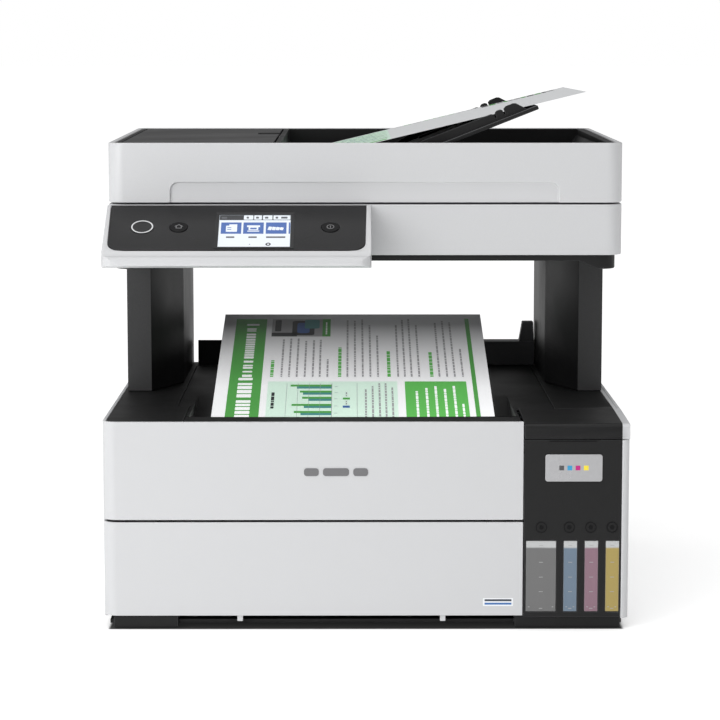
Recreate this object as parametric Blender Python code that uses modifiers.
"""Ink tank all-in-one printer: base with cassette and tanks, pillars, scanner unit and document feeder lid.

Metres, +X to the right, +Y to the back, +Z up, origin on the floor under the middle of the body.
"""

import math

import bmesh
import bpy
from mathutils import Matrix, Vector

# Overall size of the body
WIDTH = 0.375
DEPTH = 0.347
LEFT, RIGHT = -WIDTH / 2, WIDTH / 2
FRONT, BACK = -DEPTH / 2, DEPTH / 2

# Heights of the seams, from the floor
FOOT_HEIGHT = 0.0030
BLOCK_BASE = 0.0008
COVER_BASE = 0.0100
CASSETTE_TOP = 0.0778
COVER_SEAM = 0.0794
DECK = 0.1500
UNDERSIDE = 0.2524
PILLAR_TOP = 0.2585
SCANNER_BASE = 0.2630
SCANNER_TOP = 0.2999
LID_BASE = 0.3012
LID_TOP = 0.3445
LID_RISE = 0.0022

# Walls and gaps
SKIN = 0.0025
FIT = 0.0003
SEAM = 0.0005
CORNER = 0.0100
COVER_RETURN = 0.0040
ARC_STEPS = 4

# Ink tank bay, at the right of the base
SIDE_STRIP = 0.0055
PANEL_WIDTH = 0.0695
PANEL_RIGHT = RIGHT - SIDE_STRIP
PANEL_LEFT = PANEL_RIGHT - PANEL_WIDTH
TANK_LID_DEPTH = 0.0655
LID_NOSE = 0.0013
PANEL_TOP = DECK - 0.0125 - SEAM
TANK_NAMES = ("black", "cyan", "magenta", "yellow")
TANK_WIDTHS = (0.0230, 0.0112, 0.0112, 0.0112)
TANK_GAP = 0.0038
TANK_START = 0.0009
TANK_FLOOR = 0.0115
TANK_HEIGHT = 0.1000
TANK_DEPTH = 0.0950
NECK_HEIGHT = 0.0080
NECK_RADIUS = 0.0042
NECK_SETBACK = 0.0300
CAP_RADIUS = 0.0056
CAP_THICKNESS = 0.0040
CAP_ARM = 0.0110
WINDOW_BASE = 0.0127
WINDOW_TOP = 0.0644
WINDOW_EDGE = 0.0006

# Chassis and cassette
BAY_WALL_LEFT = LEFT + 0.0390
BAY_WALL_RIGHT = PANEL_LEFT - 0.0040
SHELF = 0.0660
CASSETTE_FLOOR = 0.0120
CASSETTE_RIM = 0.0600
CASSETTE_LENGTH = 0.3140
PAPER_WIDTH = 0.2100
PAPER_CENTRE = -0.0080
STACK_HEIGHT = 0.0300
GUIDE_THICKNESS = 0.0030

# Output tray, which is also the cover over the mechanism
TRAY_LEFT = LEFT + 0.0580
TRAY_RIGHT = PANEL_LEFT - 0.0020
TRAY_BACK = BACK - 0.0300
TRAY_FRONT_FLOOR = 0.1180
TRAY_SLOPE = 0.235
LEDGE_DEPTH = 0.0220
LEDGE_APRON = 0.0180
WING_REACH = RIGHT - 0.0490
WING_START = 0.0825
RAMP_WIDTH = 0.1000
RAMP_BACK = BACK - 0.0600
EXIT_TOP = 0.1700
FIN_TOP = 0.1865

# Pillars
PILLAR_FRONT = -0.0130
PILLAR_INSET = 0.0050
PILLAR_FACE = 0.0185
PILLAR_DEEP = 0.0400
PILLAR_BEVEL = 0.0520

# Scanner unit and control panel
UNIT_FRONT = FRONT + 0.0660
UNIT_BACK = BACK - 0.0055
UNIT_CORNER = 0.0120
UNDERSIDE_INSET = 0.0042
ARCH_TOP_X, ARCH_FOOT_X = 0.0320, 0.0155
GLASS_LEFT, GLASS_RIGHT = LEFT + 0.0250, RIGHT - 0.0370
GLASS_FRONT, GLASS_BACK = UNIT_FRONT + 0.0270, UNIT_BACK - 0.0230
GLASS_THICKNESS = 0.0030
BAR_WIDTH = 0.0200
RAIL_RADIUS = 0.0030
PANEL_SPAN = 0.1915
PANEL_DROP = 0.0297
PANEL_REACH = 0.0505
PANEL_RIM = 0.0100
PANEL_TILT = math.atan2(PANEL_DROP, PANEL_REACH)
PANEL_LENGTH = math.hypot(PANEL_DROP, PANEL_REACH)
FASCIA_THICKNESS = 0.0020
SCREEN_CENTRE, SCREEN_DOWN = 0.1078, 0.0332
SCREEN_WIDTH, SCREEN_HEIGHT = 0.0515, 0.0404
FACE_CORNER = 0.0095
BUTTONS = {"power": (0.0272, 0.0080), "home": (0.0534, 0.0064), "help": (0.1622, 0.0064)}
BUTTON_DOWN = 0.0290

# Lid with the document feeder
LID_WALL = 0.0042
FEEDER_WIDTH = 0.1215
POCKET_FLOOR = 0.3070
POCKET_RIGHT = RIGHT - 0.0105
PARTITION = 0.0040
TRAY_HINGE_X, TRAY_HINGE_Z = -0.0200, 0.3125
TRAY_TILT = math.radians(21.5)
TRAY_LENGTH = 0.1570
TRAY_PLATE = 0.0030
HINGE_X = 0.1280
HINGE_WIDTH = 0.0200
HINGE_PIN = 0.0016
DOCUMENT_FRONT = UNIT_FRONT + 0.0200
EDGE_GAP = 0.0005
HINGE_Y = UNIT_BACK + 0.0030
HINGE_Z = (SCANNER_TOP + LID_BASE) / 2
PAN_X0, PAN_X1 = LEFT + LID_WALL + FIT, RIGHT - LID_WALL - FIT
PAN_Y0, PAN_Y1 = UNIT_FRONT + LID_WALL + FIT, UNIT_BACK - LID_WALL - FIT
BAY_RIGHT = LEFT + FEEDER_WIDTH
POCKET_LEFT = BAY_RIGHT + PARTITION
TRAY_Y0, TRAY_Y1 = DOCUMENT_FRONT - 0.0070, DOCUMENT_FRONT + PAPER_WIDTH + 0.0080

# Mechanism inside the base
POWER_X = LEFT + 0.0195
MECH_RIGHT = PANEL_RIGHT - 0.0065
RAIL_Y = 0.0550
CARRIAGE_HOME = 0.1170
CARRIAGE_WIDTH = 0.0450
FEED_Y, FEED_Z = 0.1280, 0.0860
OUT_Y, OUT_Z = TRAY_BACK + 0.0128, 0.1625

COLOURS = {
    "silver": ((0.62, 0.63, 0.64), 0.42, 0.0),
    "black": ((0.018, 0.018, 0.020), 0.50, 0.0),
    "dark": ((0.045, 0.045, 0.048), 0.48, 0.0),
    "grey": ((0.085, 0.088, 0.095), 0.50, 0.0),
    "fascia": ((0.012, 0.012, 0.014), 0.22, 0.0),
    "screen": ((0.70, 0.78, 0.90), 0.15, 0.0),
    "white": ((0.85, 0.85, 0.84), 0.60, 0.0),
    "rubber": ((0.02, 0.02, 0.02), 0.85, 0.0),
    "steel": ((0.55, 0.56, 0.58), 0.30, 1.0),
    "board": ((0.02, 0.16, 0.06), 0.45, 0.0),
    "glass": ((0.75, 0.80, 0.82), 0.05, 0.0),
    "ink_black": ((0.17, 0.17, 0.17), 0.25, 0.0),
    "ink_cyan": ((0.18, 0.27, 0.37), 0.25, 0.0),
    "ink_magenta": ((0.33, 0.19, 0.26), 0.25, 0.0),
    "ink_yellow": ((0.48, 0.37, 0.09), 0.25, 0.0),
}


def clear_scene():
    for old in list(bpy.data.objects):
        bpy.data.objects.remove(old)


def collection(name):
    group = bpy.data.collections.new(name)
    bpy.context.scene.collection.children.link(group)
    return group


def finish_material(name):
    """The Principled material of this finish, made when it is first asked for."""
    if name in bpy.data.materials:
        return bpy.data.materials[name]
    colour, roughness, metallic = COLOURS[name]
    made = bpy.data.materials.new(name)
    made.use_nodes = True
    shader = made.node_tree.nodes["Principled BSDF"]
    shader.inputs["Base Color"].default_value = (*colour, 1.0)
    shader.inputs["Roughness"].default_value = roughness
    shader.inputs["Metallic"].default_value = metallic
    return made


def place(obj, name, finish):
    """Names an object and files it with the parts under its finish, or with the cutters if it has none."""
    obj.name = name
    for group in list(obj.users_collection):
        group.objects.unlink(obj)
    if finish is None:
        CUTTERS.objects.link(obj)
        obj.hide_render = True
        obj.display_type = "WIRE"
    else:
        PARTS.objects.link(obj)
        obj.data.materials.clear()
        obj.data.materials.append(finish_material(finish))
    return obj


def box(name, low, high, finish=None, bevel=0.0, segments=2):
    """A block between two corners, its edges rounded where a bevel is given."""
    low, high = Vector(low), Vector(high)
    bpy.ops.mesh.primitive_cube_add(size=1.0, location=(low + high) / 2)
    obj = bpy.context.object
    obj.scale = high - low
    bpy.ops.object.transform_apply(location=False, rotation=False, scale=True)
    if bevel:
        rounding = obj.modifiers.new("rounding", "BEVEL")
        rounding.width = bevel
        rounding.segments = segments
    return place(obj, name, finish)


def rod(name, centre, radius, length, axis="Z", finish=None, sides=20):
    """A straight cylinder along one axis."""
    turn = {"X": (0, math.pi / 2, 0), "Y": (math.pi / 2, 0, 0), "Z": (0, 0, 0)}[axis]
    bpy.ops.mesh.primitive_cylinder_add(
        vertices=sides, radius=radius, depth=length, location=centre, rotation=turn
    )
    obj = bpy.context.object
    obj.data.shade_smooth()
    obj.data.set_sharp_from_angle(angle=math.radians(40))
    return place(obj, name, finish)


def outline_solid(name, points, low, high, axis="Z", finish=None):
    """A flat outline, extruded from low to high along an axis.

    Its points are (x, y) along Z, (y, z) along X or (x, z) along Y.
    """
    curve = bpy.data.curves.new(name, "CURVE")
    curve.dimensions = "2D"
    curve.fill_mode = "BOTH"
    curve.extrude = (high - low) / 2
    spline = curve.splines.new("POLY")
    spline.points.add(len(points) - 1)
    for point, (u, v) in zip(spline.points, points):
        point.co = (u, v, 0.0, 1.0)
    spline.use_cyclic_u = True
    middle = (low + high) / 2
    quarter = math.pi / 2
    turns = {"X": (quarter, 0, quarter), "Y": (quarter, 0, 0), "Z": (0, 0, 0)}
    places = {"X": (middle, 0, 0), "Y": (0, middle, 0), "Z": (0, 0, middle)}
    flat = bpy.data.objects.new(name, curve)
    flat.rotation_euler = turns[axis]
    flat.location = places[axis]
    bpy.context.scene.collection.objects.link(flat)
    return place(to_mesh(flat), name, finish)


def to_mesh(flat):
    """The curve object as a welded mesh object in the same place."""
    graph = bpy.context.evaluated_depsgraph_get()
    mesh = bpy.data.meshes.new_from_object(flat.evaluated_get(graph))
    work = bmesh_of(mesh)
    work.to_mesh(mesh)
    work.free()
    obj = bpy.data.objects.new(flat.name, mesh)
    obj.rotation_euler = flat.rotation_euler
    obj.location = flat.location
    bpy.context.scene.collection.objects.link(obj)
    bpy.data.objects.remove(flat)
    return obj


def bmesh_of(mesh):
    work = bmesh.new()
    work.from_mesh(mesh)
    bmesh.ops.remove_doubles(work, verts=work.verts, dist=1e-6)
    bmesh.ops.recalc_face_normals(work, faces=work.faces)
    return work


def turned(name, profile, centre, axis="X", finish=None, steps=20):
    """A solid of revolution: (radius, place along the axis) pairs, from the far end to the near end."""
    mesh = bpy.data.meshes.new(name)
    points = [(radius, 0.0, along) for radius, along in profile]
    mesh.from_pydata(points, [(i, i + 1) for i in range(len(points) - 1)], [])
    obj = bpy.data.objects.new(name, mesh)
    obj.location = centre
    obj.rotation_euler = {"X": (0, math.pi / 2, 0), "Y": (-math.pi / 2, 0, 0), "Z": (0, 0, 0)}[axis]
    bpy.context.scene.collection.objects.link(obj)
    screw = obj.modifiers.new("turning", "SCREW")
    screw.steps = steps
    screw.render_steps = steps
    screw.use_merge_vertices = True
    screw.merge_threshold = 1e-6
    screw.use_smooth_shade = False
    return place(obj, name, finish)


def roller_profile(shaft, length, drum, drum_spans):
    """Half outline of a shaft with drums on it, each span given as a start and an end from the middle."""
    profile = [(0.0, length / 2), (shaft, length / 2)]
    for start, end in sorted(drum_spans, reverse=True):
        profile += [(shaft, end), (drum, end), (drum, start), (shaft, start)]
    return profile + [(shaft, -length / 2), (0.0, -length / 2)]


def combine(obj, others, operation):
    for other in others:
        place(other, other.name, None)
        change = obj.modifiers.new(operation.lower(), "BOOLEAN")
        change.operation = operation
        change.object = other
        other.parent = obj
        other.matrix_parent_inverse = obj.matrix_basis.inverted()
    return obj


def cut(obj, *cutters):
    return combine(obj, cutters, "DIFFERENCE")


def join(obj, *others):
    return combine(obj, others, "UNION")


def arc(centre, radius, start, end, steps=ARC_STEPS):
    """Points on an arc, with its angles in degrees."""
    angles = [math.radians(start + (end - start) * i / steps) for i in range(steps + 1)]
    return [(centre[0] + radius * math.cos(a), centre[1] + radius * math.sin(a)) for a in angles]


def rounded(low, high, radius, steps=ARC_STEPS):
    """Outline of a rectangle with round corners."""
    (x0, y0), (x1, y1) = low, high
    return (
        arc((x1 - radius, y1 - radius), radius, 0, 90, steps)
        + arc((x0 + radius, y1 - radius), radius, 90, 180, steps)
        + arc((x0 + radius, y0 + radius), radius, 180, 270, steps)
        + arc((x1 - radius, y0 + radius), radius, 270, 360, steps)
    )


def pivot(name, at, parent=None, turn=(0, 0, 0)):
    """An empty on a joint's axis."""
    empty = bpy.data.objects.new(name, None)
    empty.empty_display_size = 0.02
    empty.location = at
    empty.rotation_euler = turn
    PARTS.objects.link(empty)
    if parent:
        hang(parent, empty)
    return empty


def hang(axis, *pieces):
    """Parents pieces to an untilted pivot and leaves them where they are."""
    for piece in pieces:
        piece.parent = axis
        piece.matrix_parent_inverse = Matrix.Translation(-world_place(axis))


def world_place(empty):
    """Where an untilted pivot stands: its own location, because each parent's offset is cancelled."""
    return Vector(empty.location)


def mount(frame, *pieces):
    """Puts pieces that were made about the origin into a tilted frame."""
    for piece in pieces:
        piece.parent = frame


# ---------------------------------------------------------------- base


def wrap_outline(right):
    """Plan of a front cover that turns the left corner: a bent sheet one skin thick."""
    centre = (LEFT + CORNER, FRONT + CORNER)
    outer = [(right, FRONT)] + arc(centre, CORNER, 270, 180)
    inner = arc(centre, CORNER - SKIN, 180, 270) + [(right, FRONT + SKIN)]
    return outer + inner


def chassis():
    floor_top = COVER_BASE - 0.0040
    obj = box(
        "chassis",
        (LEFT + 0.004, FRONT + 0.008, FOOT_HEIGHT),
        (RIGHT - 0.004, BACK - 0.006, floor_top),
        "black",
    )
    wall_low, wall_high = floor_top - 0.001, DECK - 0.0060
    left = box(
        "wall_a", (BAY_WALL_LEFT - SKIN, FRONT + 0.012, wall_low), (BAY_WALL_LEFT, BACK - 0.012, wall_high)
    )
    right = box(
        "wall_b",
        (BAY_WALL_RIGHT, FRONT + 0.012, wall_low),
        (BAY_WALL_RIGHT + SKIN, BACK - 0.012, SHELF + 0.003),
    )
    frame_x = PANEL_RIGHT - 0.0060
    frame_y = FRONT + TANK_DEPTH + 0.020
    end = box("wall_c", (frame_x, frame_y, wall_low), (frame_x + SKIN, BACK - 0.012, wall_high))
    shelf_low = (BAY_WALL_LEFT - 0.001, frame_y, SHELF)
    shelf = box("wall_d", shelf_low, (frame_x + 0.001, BACK - 0.012, SHELF + 0.003))
    blocks = []
    for x0, x1, name in ((LEFT + 0.0070, LEFT + 0.0530, "a"), (PANEL_LEFT - 0.0060, RIGHT - 0.0055, "b")):
        blocks.append(
            box("block_" + name, (x0, FRONT + 0.0035, BLOCK_BASE), (x1, FRONT + 0.020, COVER_BASE - SEAM))
        )
    return join(obj, left, right, end, shelf, *blocks)


def feet():
    inset_x, inset_y = 0.030, 0.026
    front_y = FRONT + inset_y + 0.004
    for name, x, y in (
        ("foot_front_left", LEFT + inset_x, front_y),
        ("foot_front_right", RIGHT - inset_x, front_y),
        ("foot_back_left", LEFT + inset_x, BACK - inset_y),
        ("foot_back_right", RIGHT - inset_x, BACK - inset_y),
    ):
        rod(name, (x, y, (FOOT_HEIGHT - 0.0008) / 2), 0.0085, FOOT_HEIGHT - 0.0008, "Z", "rubber", 20)


def side_covers():
    y0 = FRONT + CORNER + SEAM
    low, high = (LEFT, y0, COVER_BASE - 0.002), (LEFT + SKIN, BACK, DECK)
    left = box("left_side_cover", low, high, "silver")
    join(left, box("return_a", (LEFT, BACK - SKIN, COVER_BASE - 0.002), (LEFT + COVER_RETURN, BACK, DECK)))
    radius = 0.0045
    centre = (RIGHT - radius, FRONT + radius)
    outline = (
        [(PANEL_RIGHT, FRONT)]
        + arc(centre, radius, 270, 360)
        + [(RIGHT, BACK), (RIGHT - COVER_RETURN, BACK)]
        + [(RIGHT - COVER_RETURN, BACK - SKIN), (RIGHT - SKIN, BACK - SKIN)]
        + arc(centre, radius - SKIN, 360, 270)
        + [(PANEL_RIGHT, FRONT + SKIN)]
    )
    right = outline_solid("right_side_cover", outline, COVER_BASE - 0.002, DECK, "Z", "silver")
    top = (RIGHT + 0.01, FRONT + TANK_LID_DEPTH + SEAM, DECK + 0.01)
    cut(right, box("lid_step", (PANEL_RIGHT - 0.01, FRONT - 0.01, PANEL_TOP), top))


def rear_housing():
    """Back wall of the base, with the way in for the rear cover."""
    x = WIDTH / 2 - COVER_RETURN - SEAM
    obj = box("rear_housing", (-x, BACK - SKIN, COVER_BASE - 0.002), (x, BACK, DECK - SKIN - FIT), "black")
    low, high = rear_cover_box()
    opening = box(
        "opening",
        (low[0] - SEAM, BACK - 0.02, low[2] - SEAM),
        (high[0] + SEAM, BACK + 0.01, high[2] + SEAM),
    )
    inlet = box(
        "inlet_hole", (POWER_X - 0.0142, BACK - 0.02, 0.0298), (POWER_X + 0.0142, BACK + 0.01, 0.0502)
    )
    cut(obj, opening, inlet)


def rear_cover_box():
    return (LEFT + 0.060, BACK - SKIN, 0.080), (RIGHT - 0.100, BACK, 0.140)


def rear_cover():
    low, high = rear_cover_box()
    obj = box("rear_cover", low, high, "black")
    grip_x = (low[0] + high[0]) / 2
    grip = box(
        "grip_block",
        (grip_x - 0.030, low[1] - 0.010, high[2] - 0.018),
        (grip_x + 0.030, BACK - 0.001, high[2] - 0.004),
    )
    hollow = box(
        "grip_hollow",
        (grip_x - 0.028, low[1] - 0.008, high[2] - 0.016),
        (grip_x + 0.028, BACK + 0.001, high[2] - 0.006),
    )
    cut(join(obj, grip), hollow)
    axis = pivot("rear_cover_slide", (grip_x, BACK, low[2]))
    hang(axis, obj)


def power_and_boards():
    inlet = box(
        "power_inlet",
        (POWER_X - 0.014, BACK - 0.022, 0.030),
        (POWER_X + 0.014, BACK - 0.0006, 0.050),
        "black",
    )
    cut(
        inlet,
        box("socket", (POWER_X - 0.0105, BACK - 0.018, 0.0335), (POWER_X + 0.0105, BACK + 0.01, 0.0465)),
    )
    supply_low = (LEFT + 0.006, FRONT + 0.060, 0.010)
    box("power_supply", supply_low, (BAY_WALL_LEFT - SKIN - 0.002, FRONT + 0.200, 0.060), "steel", 0.001, 1)
    board_low = (LEFT + 0.007, FRONT + 0.070, 0.075)
    box("main_board", board_low, (LEFT + 0.0086, FRONT + 0.250, 0.140), "board")


def top_frame():
    """Deck around the output tray: two side strips joined across the back."""
    clear = 0.0005
    x0, x1 = LEFT + SKIN + FIT, RIGHT - SKIN - FIT
    centre = (LEFT + CORNER, FRONT + CORNER)
    lid_back = FRONT + TANK_LID_DEPTH + SEAM
    back = BACK - SKIN - FIT
    left_edge, right_edge = -WING_REACH - SEAM, WING_REACH + SEAM
    outline = (
        [(x0, back), (x0, FRONT + CORNER)]
        + arc(centre, CORNER - SKIN - clear, 180, 270)[1:]
        + [
            (TRAY_LEFT - SEAM, FRONT + SKIN + clear),
            (TRAY_LEFT - SEAM, FRONT + WING_START - SEAM),
            (left_edge, FRONT + WING_START - SEAM),
            (left_edge, TRAY_BACK + SEAM),
            (right_edge, TRAY_BACK + SEAM),
            (right_edge, lid_back),
            (x1, lid_back),
            (x1, back),
        ]
    )
    obj = outline_solid("top_frame", outline, DECK - SKIN, DECK, "Z", "black")
    wall_low = (left_edge + SEAM, TRAY_BACK + 0.013, DECK - SKIN)
    wall = box("rear_wall", wall_low, (TRAY_LEFT + 0.0155, TRAY_BACK + 0.0155, EXIT_TOP))
    return join(obj, wall)


def pillar_outline(side, gap=0.0):
    """Plan of a pillar, or of its socket: a flat front, a bevelled inner corner and a straight inner face."""
    outer = side * (WIDTH / 2 - PILLAR_INSET + gap)
    face = side * (WIDTH / 2 - PILLAR_INSET - PILLAR_FACE - gap)
    inner = side * (WIDTH / 2 - PILLAR_INSET - PILLAR_DEEP - gap)
    points = [
        (outer, PILLAR_FRONT - gap),
        (outer, UNIT_BACK - 0.003 + gap),
        (inner, UNIT_BACK - 0.003 + gap),
        (inner, PILLAR_FRONT + PILLAR_BEVEL),
        (face, PILLAR_FRONT - gap),
    ]
    return points if side > 0 else points[::-1]


def inset_outline(side, wall):
    outer = side * (WIDTH / 2 - PILLAR_INSET - wall)
    face = side * (WIDTH / 2 - PILLAR_INSET - PILLAR_FACE)
    inner = side * (WIDTH / 2 - PILLAR_INSET - PILLAR_DEEP + wall)
    back = UNIT_BACK - 0.003 - wall
    points = [(outer, PILLAR_FRONT + wall), (outer, back), (inner, back)]
    points += [(inner, PILLAR_FRONT + PILLAR_BEVEL), (face, PILLAR_FRONT + wall)]
    return points if side > 0 else points[::-1]


def pillars():
    """Two hollow posts, open at the bottom."""
    for name, side in (("left_pillar", -1), ("right_pillar", 1)):
        low, high = DECK + FIT, PILLAR_TOP - FIT
        post = outline_solid(name, pillar_outline(side), low, high, "Z", "dark")
        hollow = outline_solid("hollow", inset_outline(side, SKIN), low - 0.01, high - SKIN)
        cut(post, hollow)


def exit_guide():
    """Grey ledge behind the output tray, with a trough for the output roller and a fin at each end."""
    y0, y1 = TRAY_BACK + 0.0030, UNIT_BACK - 0.003
    x0, x1 = TRAY_LEFT + 0.0160, RIGHT - PILLAR_INSET - PILLAR_DEEP - 0.0005
    obj = box("exit_guide", (x0, y0, DECK + FIT), (x1, y1, EXIT_TOP), "grey")
    fins = []
    for end, sense in ((x0, 1), (x1, -1)):
        foot, shoulder = end + sense * 0.0160, end + sense * 0.0100
        outline = [
            (end, DECK + 0.001), (end + sense * 0.001, FIN_TOP), (shoulder, FIN_TOP), (foot, DECK + 0.001)
        ]
        outline = outline if sense < 0 else outline[::-1]
        fins.append(outline_solid("fin", outline, y0 + 0.0005, y0 + 0.0105, "Y"))
    trough = box(
        "trough", (x0 + 0.018, y0 + 0.004, DECK + 0.0025), (x1 - 0.045, y1 - 0.003, EXIT_TOP + 0.01)
    )
    return cut(join(obj, *fins), trough)


def tray_floor(y):
    """Height of the sloped tray floor, which rises to the back and levels off at the deck."""
    return min(DECK - 0.0002, TRAY_FRONT_FLOOR + TRAY_SLOPE * (y - FRONT))


def output_tray():
    """Cover over the mechanism: a front ledge, a sloped well for the sheets and a raised ramp under them."""
    y_front, y_back = FRONT + SKIN + 0.0008, TRAY_BACK
    ledge = y_front + LEDGE_DEPTH
    top = DECK - 0.0002
    level = FRONT + (top - TRAY_FRONT_FLOOR) / TRAY_SLOPE
    profile = [
        (y_front, DECK),
        (y_front, DECK - LEDGE_APRON),
        (ledge, tray_floor(ledge) - SKIN),
        (level, top - SKIN),
        (y_back, DECK - SKIN),
        (y_back, top),
        (level, top),
        (ledge + 0.001, tray_floor(ledge)),
        (ledge, DECK),
    ]
    obj = outline_solid("output_tray", profile, TRAY_LEFT, TRAY_RIGHT, "X", "black")
    cheek = [
        (ledge - 0.001, top), (ledge - 0.001, tray_floor(ledge) - 0.001), (level, top - 0.001), (level, top)
    ]
    cheeks = [
        outline_solid("cheek", cheek, TRAY_LEFT, TRAY_LEFT + SKIN, "X"),
        outline_solid("cheek", cheek, TRAY_RIGHT - SKIN, TRAY_RIGHT, "X"),
    ]
    wings = [
        box("wing", (-WING_REACH, FRONT + WING_START, DECK - SKIN), (TRAY_LEFT + 0.001, y_back, top)),
        box(
            "wing",
            (TRAY_RIGHT - 0.001, FRONT + TANK_LID_DEPTH + 2 * SEAM, DECK - SKIN),
            (WING_REACH, y_back, top),
        ),
    ]
    ramp_low = level - 0.0600
    ramp_high = tray_floor(ramp_low) + 0.0005
    crest = ramp_high + TRAY_SLOPE * (RAMP_BACK - ramp_low)
    ramp = [
        (ramp_low, ramp_high - 0.002), (RAMP_BACK, DECK - 0.002), (RAMP_BACK, crest), (ramp_low, ramp_high)
    ]
    x0, x1 = PAPER_CENTRE - RAMP_WIDTH / 2, PAPER_CENTRE + RAMP_WIDTH / 2
    tongue = outline_solid("tongue", ramp, x0, x1, "X")
    hollow = [(level, DECK - 0.02), (RAMP_BACK - SKIN, DECK - 0.02)]
    hollow += [(RAMP_BACK - SKIN, crest - 0.005), (level, tray_floor(level) + 0.001)]
    inside = outline_solid("under_tongue", hollow, x0 + SKIN, x1 - SKIN, "X")
    cut(join(obj, tongue, *cheeks, *wings), inside)
    hang(pivot("output_tray_hinge", (0, y_back - 0.002, DECK - SKIN / 2)), obj)


def front_covers():
    right = PANEL_LEFT - SEAM
    upper = outline_solid("front_cover", wrap_outline(right), COVER_SEAM, DECK, "Z", "silver")
    join(
        upper,
        box("flange", (right - SKIN, FRONT + 0.001, COVER_SEAM), (right, FRONT + SKIN + 0.0003, DECK)),
    )
    axis = pivot("front_cover_hinge", (0, FRONT + SKIN / 2, COVER_SEAM + SKIN / 2))
    hang(axis, upper)


def cassette():
    slide = pivot("cassette_slide", (0, FRONT, CASSETTE_FLOOR))
    right = PANEL_LEFT - SEAM
    face = outline_solid("cassette_front", wrap_outline(right), COVER_BASE, CASSETTE_TOP, "Z", "silver")
    x0, x1 = BAY_WALL_LEFT + 0.002, BAY_WALL_RIGHT - 0.002
    y0 = FRONT + SKIN + FIT
    tray = box("cassette_tray", (x0, y0, CASSETTE_FLOOR), (x1, y0 + CASSETTE_LENGTH, CASSETTE_RIM), "black")
    cut(
        tray,
        box(
            "well",
            (x0 + SKIN, y0 + SKIN, CASSETTE_FLOOR + SKIN),
            (x1 - SKIN, y0 + CASSETTE_LENGTH - SKIN, CASSETTE_RIM + 0.01),
        ),
    )
    guides = []
    for name, sense in (("cassette_guide_left", -1), ("cassette_guide_right", 1)):
        face_x = PAPER_CENTRE + sense * (PAPER_WIDTH / 2 + EDGE_GAP)
        back_x = face_x + sense * GUIDE_THICKNESS
        base = CASSETTE_FLOOR + SKIN + FIT
        low = (min(face_x, back_x), y0 + 0.120, base)
        guide = box(name, low, (max(face_x, back_x), y0 + 0.185, base + STACK_HEIGHT), "dark")
        toe_x = face_x - sense * 0.012
        toe = box(
            "toe",
            (min(toe_x, face_x + sense * 0.001), y0 + 0.135, base),
            (max(toe_x, face_x + sense * 0.001), y0 + 0.170, base + 0.002),
        )
        guides.append(join(guide, toe))
    hang(slide, face, tray, *guides)


# ---------------------------------------------------------------- tank bay


def tank_spans():
    """Left and right side of each tank, from the black one on the left."""
    x = PANEL_LEFT + TANK_START
    spans = []
    for width in TANK_WIDTHS:
        spans.append((x, x + width))
        x += width + TANK_GAP
    return spans


def tank_panel():
    low = (PANEL_LEFT, FRONT, COVER_BASE - 0.001)
    panel = box("tank_front_panel", low, (PANEL_RIGHT - FIT, FRONT + SKIN, PANEL_TOP), "black")
    windows = []
    for x0, x1 in tank_spans():
        edge = WINDOW_EDGE
        windows.append(
            box("window", (x0 + edge, FRONT - 0.01, WINDOW_BASE), (x1 - edge, FRONT + 0.01, WINDOW_TOP))
        )
    cut(panel, *windows)


def tanks():
    y0 = FRONT + SKIN + FIT
    top = TANK_FLOOR + TANK_HEIGHT
    neck_y = y0 + NECK_SETBACK
    for name, (x0, x1) in zip(TANK_NAMES, tank_spans()):
        x = (x0 + x1) / 2
        tank = box(
            "ink_tank_" + name, (x0, y0, TANK_FLOOR), (x1, y0 + TANK_DEPTH, top), "ink_" + name, 0.0008, 1
        )
        neck = rod("neck", (x, neck_y, top + NECK_HEIGHT / 2 - 0.0005), NECK_RADIUS, NECK_HEIGHT + 0.001)
        join(tank, neck)
        cap_low = top + NECK_HEIGHT + FIT
        cap = rod(
            "tank_cap_" + name,
            (x, neck_y, cap_low + CAP_THICKNESS / 2),
            CAP_RADIUS,
            CAP_THICKNESS,
            "Z",
            "dark",
            20,
        )
        arm_low = (x - 0.0030, neck_y, cap_low + 0.0005)
        arm = box("arm", arm_low, (x + 0.0030, neck_y + CAP_ARM, cap_low + CAP_THICKNESS - 0.001))
        join(cap, arm)
        axis = pivot("cap_hinge_" + name, (x, neck_y + CAP_ARM, cap_low + CAP_THICKNESS / 2))
        hang(axis, cap)


def tank_lid():
    back = FRONT + TANK_LID_DEPTH
    low_z = PANEL_TOP + SEAM
    slope_end = DECK - LID_NOSE
    nose = 0.0030
    top_line = [(back, DECK), (FRONT + nose, slope_end)]
    outer = top_line + arc((FRONT + nose, slope_end - nose), nose, 90, 180)[1:] + [(FRONT, low_z)]
    inner_nose = arc((FRONT + nose, slope_end - nose), 0.0005, 180, 90)
    inner = [(FRONT + SKIN, low_z)] + inner_nose + [(back, DECK - SKIN)]
    lid = outline_solid("tank_lid", (outer + inner)[::-1], PANEL_LEFT + 0.0002, RIGHT, "X", "black")
    cheek = outline_solid("cheek", (outer + [(back, low_z)])[::-1], PANEL_RIGHT + 0.003, RIGHT, "X")
    join(lid, cheek)
    axis = pivot("tank_lid_hinge", (0, back - 0.0012, DECK - 0.0012))
    hang(axis, lid)


# ---------------------------------------------------------------- mechanism


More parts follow.
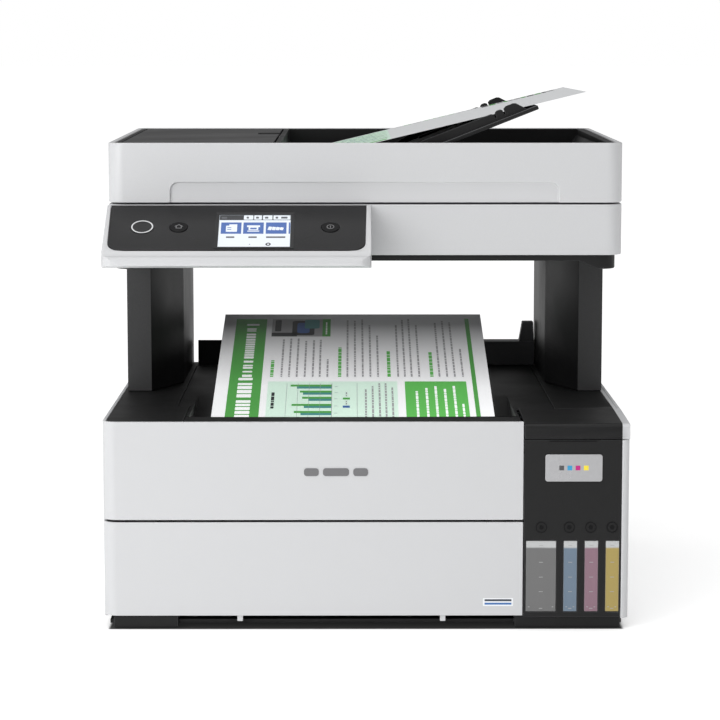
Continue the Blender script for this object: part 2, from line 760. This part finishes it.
def mechanism():
    box(
        "carriage_rail",
        (BAY_WALL_LEFT + FIT, RAIL_Y, 0.098),
        (MECH_RIGHT - FIT, RAIL_Y + 0.003, 0.138),
        "steel",
    )
    box(
        "platen",
        (PAPER_CENTRE - 0.118, RAIL_Y + 0.010, 0.0695),
        (PAPER_CENTRE + 0.114, RAIL_Y + 0.052, 0.0760),
        "black",
    )
    home = CARRIAGE_HOME
    low = (home, RAIL_Y + 0.008, 0.0695)
    box("maintenance_station", low, (home + CARRIAGE_WIDTH, RAIL_Y + 0.054, 0.0790), "dark", 0.001, 1)
    box(
        "feed_motor",
        (BAY_WALL_LEFT + 0.010, 0.002, 0.0730),
        (BAY_WALL_LEFT + 0.042, 0.034, 0.105),
        "steel",
        0.003,
        2,
    )
    carriage = box(
        "print_carriage",
        (home, RAIL_Y + 0.0045, 0.0830),
        (home + CARRIAGE_WIDTH, RAIL_Y + 0.060, 0.128),
        "black",
        0.002,
        1,
    )
    hook = box(
        "hook",
        (home + 0.005, RAIL_Y - 0.006, 0.127),
        (home + CARRIAGE_WIDTH - 0.005, RAIL_Y + 0.030, 0.142),
    )
    slot = box("hook_slot", (home - 0.01, RAIL_Y - 0.0015, 0.10), (home + 0.06, RAIL_Y + 0.0045, 0.1385))
    head = box(
        "head",
        (home + 0.004, RAIL_Y + 0.010, 0.0794),
        (home + CARRIAGE_WIDTH - 0.004, RAIL_Y + 0.052, 0.0840),
    )
    cut(join(carriage, hook, head), slot)
    hang(pivot("carriage_slide", (home, RAIL_Y, 0.10)), carriage)


def rollers():
    """Feed roller in the base and output roller in the exit guide, joined by a belt at their left ends."""
    wheel_x = BAY_WALL_LEFT + 0.0070
    left_end = wheel_x - 0.0035
    feed_right = PAPER_CENTRE + 0.112
    length = feed_right - left_end
    middle = (feed_right + left_end) / 2
    drums = [(-length / 2 + 0.014, length / 2 - 0.006)]
    feed = turned(
        "feed_roller",
        roller_profile(0.0030, length, 0.0065, drums),
        (middle, FEED_Y, FEED_Z),
        "X",
        "rubber",
    )
    join(feed, rod("belt_wheel", (wheel_x, FEED_Y, FEED_Z), 0.0080, 0.0070, "X"))
    hang(pivot("feed_roller_spin", (0, FEED_Y, FEED_Z)), feed)
    x0, x1 = TRAY_LEFT + 0.0360, PAPER_CENTRE + 0.0860
    span = x1 - x0
    spots = [span * share for share in (-0.42, -0.14, 0.14, 0.42)]
    drums = [(spot - 0.009, spot + 0.009) for spot in spots]
    out = turned(
        "output_roller",
        roller_profile(0.0025, span, 0.0055, drums),
        ((x0 + x1) / 2, OUT_Y, OUT_Z),
        "X",
        "rubber",
    )
    hang(pivot("output_roller_spin", (0, OUT_Y, OUT_Z)), out)


# ---------------------------------------------------------------- scanner unit


def ear_outline():
    """Side view of a fixed hinge ear, which stands behind the lid's back wall."""
    radius = HINGE_PIN + 0.0009
    foot, base = UNIT_BACK - 0.001, HINGE_Z - 0.014
    step = SCANNER_TOP - FIT
    top = arc((HINGE_Y, HINGE_Z), radius, 0, 180, 8)
    return [(foot, base), (HINGE_Y + radius, base)] + top + [(HINGE_Y - radius, step), (foot, step)]


def scanner_unit():
    outline = rounded((LEFT, UNIT_FRONT), (RIGHT, UNIT_BACK), UNIT_CORNER)
    body = outline_solid("scanner_base", outline, SCANNER_BASE, SCANNER_TOP, "Z", "silver")
    hollow_outline = rounded(
        (LEFT + SKIN, UNIT_FRONT + SKIN), (RIGHT - SKIN, UNIT_BACK - SKIN), UNIT_CORNER - SKIN
    )
    hollow = outline_solid("hollow", hollow_outline, SCANNER_BASE - 0.01, SCANNER_TOP - SKIN)
    window = box(
        "window",
        (GLASS_LEFT, GLASS_FRONT, SCANNER_TOP - 0.01),
        (GLASS_RIGHT, GLASS_BACK, SCANNER_TOP + 0.01),
    )
    cut(body, hollow, window)
    knuckles = []
    for x in (-HINGE_X, HINGE_X):
        for side in (-1, 1):
            inner_x = x + side * (HINGE_WIDTH / 2 + 0.0006)
            outer_x = inner_x + side * 0.0080
            knuckles.append(
                outline_solid("ear", ear_outline(), min(inner_x, outer_x), max(inner_x, outer_x), "X")
            )
    join(body, *knuckles)
    for x in (-HINGE_X, HINGE_X):
        cut(body, rod("pin_hole", (x, HINGE_Y, HINGE_Z), HINGE_PIN + 0.0002, HINGE_WIDTH + 0.0112, "X"))
    inset = UNDERSIDE_INSET
    under = rounded((LEFT + inset, UNIT_FRONT + inset), (RIGHT - inset, UNIT_BACK - inset), UNIT_CORNER)
    pan = outline_solid("scanner_underside", under, UNDERSIDE, SCANNER_BASE + 0.004, "Z", "black")
    inside = rounded(
        (
            LEFT + inset + SKIN, UNIT_FRONT + inset + SKIN
        ), (RIGHT - inset - SKIN, UNIT_BACK - inset - SKIN), UNIT_CORNER - SKIN
    )
    cut(pan, outline_solid("pan_hollow", inside, PILLAR_TOP + SKIN, SCANNER_BASE + 0.01))
    top_x, foot_x = WIDTH / 2 - ARCH_TOP_X, WIDTH / 2 - ARCH_FOOT_X
    arch = [
        (-foot_x, UNDERSIDE - 0.001), (foot_x, UNDERSIDE - 0.001), (top_x, PILLAR_TOP), (-top_x, PILLAR_TOP)
    ]
    cut(pan, outline_solid("arch", arch, UNIT_FRONT - 0.01, UNIT_BACK + 0.01, "Y"))
    for side in (-1, 1):
        cut(pan, outline_solid("socket", pillar_outline(side, FIT), UNDERSIDE - 0.01, PILLAR_TOP))
    glass_top = SCANNER_TOP - SKIN - FIT
    glass_low = (GLASS_LEFT - 0.006, GLASS_FRONT - 0.006, glass_top - GLASS_THICKNESS)
    box("scan_glass", glass_low, (GLASS_RIGHT + 0.006, GLASS_BACK + 0.006, glass_top), "glass")
    bar_z = glass_top - GLASS_THICKNESS - 0.0010
    rail_z = bar_z - 0.0180
    bar_y0, bar_y1 = GLASS_FRONT + 0.002, GLASS_BACK - 0.002
    middle_y = (bar_y0 + bar_y1) / 2
    bar_x = LEFT + 0.0280
    bar = box(
        "scan_bar",
        (bar_x - BAR_WIDTH / 2, bar_y0, bar_z - 0.0100),
        (bar_x + BAR_WIDTH / 2, bar_y1, bar_z),
        "dark",
    )
    shoe = box(
        "shoe",
        (bar_x - BAR_WIDTH / 2, middle_y - 0.008, rail_z - 0.005),
        (bar_x + BAR_WIDTH / 2, middle_y + 0.008, bar_z - 0.009),
    )
    bore = rod("bore", (bar_x, middle_y, rail_z), RAIL_RADIUS + 0.0003, BAR_WIDTH + 0.01, "X")
    cut(join(bar, shoe), bore)
    rod("scan_rail", (0, middle_y, rail_z), RAIL_RADIUS, WIDTH - 2 * SKIN - 0.006, "X", "steel", 16)
    hang(pivot("scan_bar_slide", (bar_x, middle_y, bar_z)), bar)


def control_panel():
    """Tilted panel at the front left: a housing, a dark fascia, a screen and three buttons."""
    tip_y, tip_z = UNIT_FRONT - PANEL_REACH, SCANNER_TOP - PANEL_DROP
    back_y = UNIT_FRONT - FIT
    nose = 0.0050
    rim = tip_y - PANEL_RIM
    base_z = UNDERSIDE + 0.0056
    profile = (
        [(back_y, base_z), (back_y, SCANNER_TOP), (tip_y, tip_z)]
        + arc((rim + nose, tip_z - 0.0082), nose, 70, 200, 8)
        + [(rim + 0.012, base_z)]
    )
    x1 = LEFT + PANEL_SPAN
    housing = outline_solid("panel_housing", profile[::-1], LEFT, x1, "X", "silver")
    plan = rounded((LEFT - 0.0001, rim - 0.02), (x1 + 0.0001, back_y + 0.03), 0.001)
    keep = rounded((LEFT, rim), (x1, back_y + 0.03), 0.0100)
    trim = outline_solid("corner_trim", plan, UNDERSIDE - 0.02, SCANNER_TOP + 0.02)
    cut(trim, outline_solid("corner_keep", keep, UNDERSIDE - 0.03, SCANNER_TOP + 0.03))
    cut(housing, trim)
    frame = pivot("panel_face", (LEFT, back_y, SCANNER_TOP), None, (PANEL_TILT, 0, 0))
    margin, side = 0.0010, 0.0030
    x_left, x_right = side, PANEL_SPAN - 0.0035
    bend = -PANEL_LENGTH + margin + FACE_CORNER
    face = [(x_left, -margin), (x_right, -margin)]
    face += arc((x_right - margin - FACE_CORNER, bend), FACE_CORNER, 0, -90, 8)
    face += arc((x_left + margin + FACE_CORNER, bend), FACE_CORNER, 270, 180, 8)
    recess = [
        (x + (FIT if x > PANEL_SPAN / 2 else -FIT), y + (FIT if y > -0.01 else -FIT)) for x, y in face
    ]
    pocket = outline_solid("face_pocket", recess[::-1], -FASCIA_THICKNESS - FIT, 0.01)
    pocket.matrix_basis = frame_matrix(frame) @ pocket.matrix_basis
    cut(housing, pocket)
    fascia = outline_solid("panel_fascia", face[::-1], -FASCIA_THICKNESS, 0.0, "Z", "fascia")
    sx, sy = SCREEN_CENTRE - SCREEN_WIDTH / 2, -SCREEN_DOWN - SCREEN_HEIGHT / 2
    screen_low = (sx, sy, -0.0016)
    screen_high = (sx + SCREEN_WIDTH, sy + SCREEN_HEIGHT, -0.0003)
    gap = Vector((FIT, FIT, 0))
    recess_box = box(
        "screen_recess",
        Vector(screen_low) - gap - Vector((0, 0, FIT)),
        Vector(screen_high) + gap + Vector((0, 0, 0.01)),
    )
    holes = []
    buttons = []
    for name, (x, radius) in BUTTONS.items():
        centre = (x, -BUTTON_DOWN, 0)
        holes.append(rod("button_hole", centre, radius + FIT, 0.02, "Z", None, 24))
        low = -FASCIA_THICKNESS + 0.0012
        button = rod(
            name + "_button", (x, -BUTTON_DOWN, (low + 0.0004) / 2), radius, 0.0004 - low, "Z", "fascia", 24
        )
        buttons.append(button)
    cut(fascia, recess_box, *holes)
    screen = box("touch_screen", screen_low, screen_high, "screen")
    mount(frame, fascia, screen, *buttons)
    for name, (x, radius) in BUTTONS.items():
        well = rod("button_well", (x, -BUTTON_DOWN, -0.003), radius + FIT, 0.005, "Z", None, 24)
        well.matrix_basis = frame_matrix(frame) @ well.matrix_basis
        cut(housing, well)


def frame_matrix(frame):
    return Matrix.LocRotScale(frame.location, frame.rotation_euler, None)


# ---------------------------------------------------------------- lid and document feeder


def above_lid(down):
    """Cutter for what stands over the lid's top, which rises a little to the back."""
    y0, y1 = UNIT_FRONT - 0.01, UNIT_BACK + 0.01
    slope = LID_RISE / (UNIT_BACK - UNIT_FRONT)
    low, high = LID_TOP - down - slope * 0.01, LID_TOP - down + slope * (y1 - UNIT_FRONT)
    return outline_solid(
        "above_lid",
        [(y0, low), (y1, high), (y1, LID_TOP + 0.03), (y0, LID_TOP + 0.03)],
        LEFT - 0.01,
        RIGHT + 0.01,
        "X",
    )


def lid():
    axis = pivot("lid_hinge", (0, HINGE_Y, HINGE_Z))
    outer = rounded((LEFT, UNIT_FRONT), (RIGHT, UNIT_BACK), UNIT_CORNER)
    shell = outline_solid("lid_frame", outer, LID_BASE, LID_TOP + LID_RISE, "Z", "silver")
    wall = LID_WALL
    bore = rounded((LEFT + wall, UNIT_FRONT + wall), (RIGHT - wall, UNIT_BACK - wall), UNIT_CORNER - wall)
    grip_x0, grip_x1 = LEFT + 0.0455, RIGHT - 0.0470
    grip = outline_solid(
        "grip", rounded(
            (grip_x0, LID_BASE - 0.015), (grip_x1, LID_BASE + 0.0148), 0.006
        ), UNIT_FRONT - 0.01, UNIT_FRONT + 0.0018, "Y"
    )
    cut(shell, outline_solid("bore", bore, LID_BASE - 0.01, LID_TOP + 0.01), grip, above_lid(0.0))
    pan = lid_pan()
    pad_low = (GLASS_LEFT + 0.001, GLASS_FRONT + 0.001, SCANNER_TOP - 0.0012)
    pad = box("backing_pad", pad_low, (GLASS_RIGHT - 0.001, GLASS_BACK - 0.001, LID_BASE + 0.0005), "white")
    hinges = []
    for name, x in (("lid_hinge_left", -HINGE_X), ("lid_hinge_right", HINGE_X)):
        half = HINGE_WIDTH / 2
        leaf = box(
            name, (x - half, UNIT_BACK + FIT, HINGE_Z), (x + half, HINGE_Y, LID_BASE + 0.0240), "black"
        )
        join(leaf, rod("barrel", (x, HINGE_Y, HINGE_Z), HINGE_PIN + 0.0008, HINGE_WIDTH, "X", None, 16))
        pin = rod("pin", (x, HINGE_Y, HINGE_Z), HINGE_PIN, HINGE_WIDTH + 0.0100, "X", None, 16)
        hinges.append(join(leaf, pin))
    hang(axis, shell, pan, pad, *hinges)
    document_tray(axis)
    cover = adf_cover(axis)
    feeder_roller(axis)
    return cover


def lid_pan():
    """Black inner moulding: the feeder bay on the left and the pocket for scanned sheets on the right."""
    outline = rounded((PAN_X0, PAN_Y0), (PAN_X1, PAN_Y1), UNIT_CORNER - LID_WALL - FIT)
    pan = outline_solid("lid_pan", outline, LID_BASE + 0.0008, LID_TOP + LID_RISE, "Z", "black")
    bay_low = (LEFT + 0.0075, UNIT_FRONT + 0.0078, LID_BASE + 0.0045)
    bay = box("bay", bay_low, (BAY_RIGHT, UNIT_BACK - 0.0078, LID_TOP + 0.01))
    pocket_outline = [
        (POCKET_LEFT, POCKET_FLOOR),
        (POCKET_RIGHT - 0.022, POCKET_FLOOR),
        (POCKET_RIGHT, LID_TOP - 0.004),
        (POCKET_RIGHT, LID_TOP + 0.01),
        (POCKET_LEFT, LID_TOP + 0.01),
    ]
    pocket = outline_solid("pocket", pocket_outline, UNIT_FRONT + 0.0078, UNIT_BACK - 0.0078, "Y")
    slot_low = (BAY_RIGHT - 0.002, TRAY_Y0 + 0.004, POCKET_FLOOR)
    slot = box("slot", slot_low, (POCKET_LEFT + 0.002, TRAY_Y1 - 0.004, LID_TOP - 0.0100))
    cut(pan, bay, pocket, slot, above_lid(0.0006))
    ears = []
    for name, y in (("ear_a", TRAY_Y0 - 0.0040), ("ear_b", TRAY_Y1 + 0.0040)):
        low = (TRAY_HINGE_X - 0.005, y - 0.0030, POCKET_FLOOR - 0.001)
        ears.append(box(name, low, (TRAY_HINGE_X + 0.005, y + 0.0030, TRAY_HINGE_Z + 0.0040)))
    join(pan, *ears)
    middle = (TRAY_Y0 + TRAY_Y1) / 2
    hole = rod(
        "tray_pin_hole",
        (TRAY_HINGE_X, middle, TRAY_HINGE_Z),
        0.0022,
        TRAY_Y1 - TRAY_Y0 + 0.0120,
        "Y",
        None,
        16,
    )
    pad = box(
        "pad_relief",
        (GLASS_LEFT, GLASS_FRONT, LID_BASE - 0.01),
        (GLASS_RIGHT, GLASS_BACK, LID_BASE + 0.0010),
    )
    return cut(pan, hole, pad)


def adf_cover(lid_axis):
    """Cover over the feeder, hinged at its left edge."""
    x0, x1 = LEFT + 0.0080, BAY_RIGHT - 0.0016
    y0, y1 = UNIT_FRONT + 0.0083, UNIT_BACK - 0.0083
    top = LID_TOP - 0.0008
    cover = box("adf_cover", (x0, y0, top - 0.0130), (x1, y1, top + LID_RISE), "dark")
    cut(
        cover,
        above_lid(0.0008),
        box("under_cover", (x0 + SKIN, y0 + SKIN, top - 0.02), (x1 - SKIN, y1 - SKIN, top - SKIN)),
    )
    cut(
        cover,
        box(
            "cover_mouth",
            (x1 - 0.01, TRAY_Y0 + 0.004, top - 0.02),
            (x1 + 0.01, TRAY_Y1 - 0.004, top - 0.0100),
        ),
    )
    grip_y = y0 + 0.160
    cut(
        cover,
        box("cover_grip", (x1 - 0.0170, grip_y, top - 0.0012), (x1 + 0.01, grip_y + 0.030, top + 0.01)),
    )
    axis = pivot("adf_cover_hinge", (x0, 0, top + LID_RISE), lid_axis)
    hang(axis, cover)
    return cover


def feeder_roller(lid_axis):
    y0, y1 = UNIT_FRONT + 0.0083, UNIT_BACK - 0.0083
    length = y1 - y0
    middle = (y0 + y1) / 2
    paper_middle = DOCUMENT_FRONT + PAPER_WIDTH / 2 - middle
    drums = [(paper_middle - 0.022, paper_middle + 0.022)]
    x, z = BAY_RIGHT - 0.0300, LID_BASE + 0.0275
    roller = turned(
        "adf_roller", roller_profile(0.0020, length, 0.0065, drums), (x, middle, z), "Y", "rubber"
    )
    hang(pivot("adf_roller_spin", (x, middle, z), lid_axis), roller)


def document_tray(lid_axis):
    """Raised input tray with two edge guides; made flat about its hinge, then tilted."""
    frame = pivot("document_tray_hinge", (TRAY_HINGE_X, 0, TRAY_HINGE_Z), None, (0, -TRAY_TILT, 0))
    frame.parent = lid_axis
    frame.matrix_parent_inverse = Matrix.Translation(-world_place(lid_axis))
    half = TRAY_PLATE / 2
    plate = box("document_tray", (0.0, TRAY_Y0, -half), (TRAY_LENGTH, TRAY_Y1, half), "black")
    barrel = rod("barrel", (0, (TRAY_Y0 + TRAY_Y1) / 2, 0), 0.0035, TRAY_Y1 - TRAY_Y0, "Y", None, 16)
    pin = rod("pin", (0, (TRAY_Y0 + TRAY_Y1) / 2, 0), 0.0020, TRAY_Y1 - TRAY_Y0 + 0.0110, "Y", None, 16)
    stiffeners = [
        box("stiffener", (0.012, y, -half - 0.0015), (TRAY_LENGTH - 0.012, y + 0.002, -half + 0.0005))
        for y in (TRAY_Y0 + 0.030, TRAY_Y1 - 0.032)
    ]
    join(plate, barrel, pin, *stiffeners)
    guides = [edge_guide("front_edge_guide", DOCUMENT_FRONT - EDGE_GAP, -1)]
    guides.append(edge_guide("back_edge_guide", DOCUMENT_FRONT + PAPER_WIDTH + EDGE_GAP, 1))
    mount(frame, plate, *guides)


def edge_guide(name, face_y, sense):
    """Upright wall on a foot, split by two grooves into a long wedge and two blocks."""
    base = TRAY_PLATE / 2 + FIT
    outline = [
        (0.0420, base),
        (0.1490, base),
        (0.1430, base + 0.0066),
        (0.1410, base + 0.0074),
        (0.1350, base + 0.0074),
        (0.1330, base + 0.0062),
        (0.1330, base + 0.0018),
        (0.1323, base + 0.0018),
        (0.1320, base + 0.0056),
        (0.1305, base + 0.0067),
        (0.1275, base + 0.0067),
        (0.1260, base + 0.0056),
        (0.1260, base + 0.0018),
        (0.1253, base + 0.0018),
        (0.1250, base + 0.0048),
        (0.1230, base + 0.0059),
        (0.0700, base + 0.0064),
        (0.0420, base + 0.0020),
    ]
    back_y = face_y + sense * GUIDE_THICKNESS
    guide = outline_solid(name, outline, min(face_y, back_y), max(face_y, back_y), "Y", "dark")
    toe_y = face_y - sense * 0.0120
    low = (0.0700, min(toe_y, face_y + sense * 0.001), base)
    return join(guide, box("toe", low, (0.1200, max(toe_y, face_y + sense * 0.001), base + 0.0015)))


clear_scene()
PARTS = collection("ink_tank_printer")
CUTTERS = collection("cutters")
chassis()
feet()
side_covers()
rear_housing()
rear_cover()
power_and_boards()
top_frame()
pillars()
exit_guide()
output_tray()
front_covers()
cassette()
tank_panel()
tanks()
tank_lid()
mechanism()
rollers()
scanner_unit()
control_panel()
lid()
